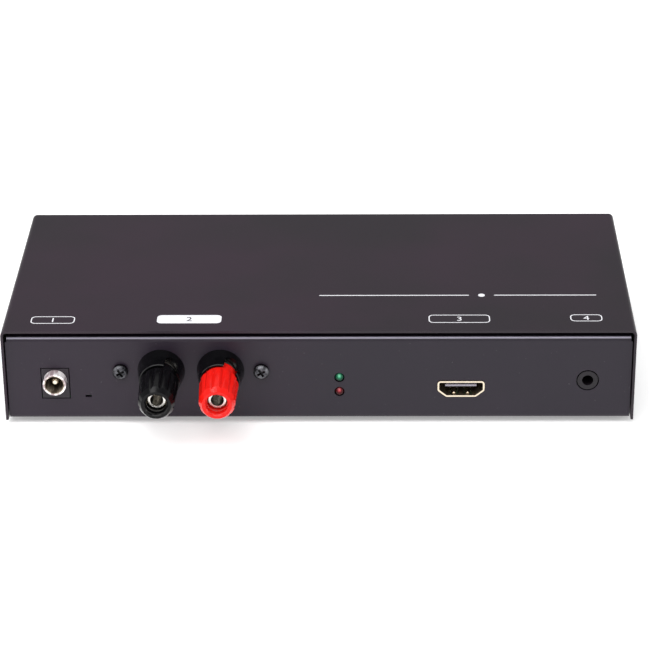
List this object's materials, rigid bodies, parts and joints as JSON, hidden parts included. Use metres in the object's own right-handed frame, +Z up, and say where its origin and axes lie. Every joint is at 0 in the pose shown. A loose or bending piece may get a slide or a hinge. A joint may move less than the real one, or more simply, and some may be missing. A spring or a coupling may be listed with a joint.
{
  "type": "hdmi extender",
  "caption": "Flat black sheet-metal line extender box with wire posts, display port, power inlet, status lights and a jack on its front panel.",
  "frame": {"origin": "floor under the feet, in the middle of the box with its knobs and screw heads", "axes": "+X to the right seen from the front, -Y out of the front panel, +Z up"},
  "size_m": [0.2044, 0.1122, 0.034],
  "materials": {
    "cover_paint": "fine satin",
    "tray_paint": "fine satin",
    "black_screws": "satin",
    "bright_screws": "satin",
    "rubber": "matt",
    "circuit_board": "satin",
    "black_gloss": "gloss",
    "red_gloss": "gloss",
    "black_matt": "matt",
    "plated": "gloss",
    "brass": "satin",
    "gilt": "gloss",
    "black_wire": "satin",
    "red_wire": "satin",
    "green_lens": "gloss",
    "red_lens": "gloss",
    "sink": "anodised black",
    "chip": "matt",
    "ferrite": "matt",
    "can": "satin",
    "white_print": "printed ink"
  },
  "bodies": {
    "chassis": {"base_tray": "tray_paint", "top_cover": "cover_paint", "cover_screws": "black_screws", "rubber_feet": "rubber", "board_standoffs": "bright_screws", "main_board": "circuit_board", "board_screws": "bright_screws", "panel_screws": "black_screws", "panel_spacers": "bright_screws", "panel_nuts": "bright_screws", "terminal_board": "circuit_board", "post_nuts": "brass", "black_post_collar": "black_gloss", "red_post_collar": "black_gloss", "black_post_washer": "black_matt", "red_post_washer": "black_matt", "black_post_stud": "plated", "red_post_stud": "plated", "black_lead": "black_wire", "red_lead": "red_wire", "inlet_housing": "black_matt", "inlet_barrel": "plated", "inlet_pin": "plated", "inlet_spring": "brass", "light_holder": "black_matt", "green_light": "green_lens", "red_light": "red_lens", "light_leads": "bright_screws", "port_shell": "gilt", "port_insulator": "black_matt", "port_contacts": "gilt", "eye_jack_housing": "black_matt", "eye_jack_contacts": "brass", "processor": "chip", "heat_sink": "sink", "memory_chips": "chip", "line_chip": "chip", "line_transformer": "ferrite", "capacitors": "can", "power_inductors": "ferrite", "crystal": "can"},
    "black_clamp": {"black_clamp_ring": "plated"},
    "black_nut": {"black_knob": "black_gloss", "black_knob_insert": "brass"},
    "red_clamp": {"red_clamp_ring": "plated"},
    "red_nut": {"red_knob": "red_gloss", "red_knob_insert": "brass"}
  },
  "joints": [
    {"name": "black_clamp_slide", "type": "slide", "parent": "chassis", "child": "black_clamp", "axis": [0, -1, 0], "range_m": [0, 0.005]},
    {"name": "black_knob_turn", "type": "hinge", "parent": "black_clamp", "child": "black_nut", "pos_m": [-0.0503, -0.0481, 0.0193], "axis": [0, -1, 0], "range_deg": [0, 1800]},
    {"name": "red_clamp_slide", "type": "slide", "parent": "chassis", "child": "red_clamp", "axis": [0, -1, 0], "range_m": [0, 0.005]},
    {"name": "red_knob_turn", "type": "hinge", "parent": "red_clamp", "child": "red_nut", "pos_m": [-0.0313, -0.0481, 0.0193], "axis": [0, -1, 0], "range_deg": [0, 1800]}
  ],
  "couplings": [
    {"joint": "black_knob_turn", "follows": "black_clamp_slide", "rad_per_m": 6283.2},
    {"joint": "red_knob_turn", "follows": "red_clamp_slide", "rad_per_m": 6283.2}
  ]
}
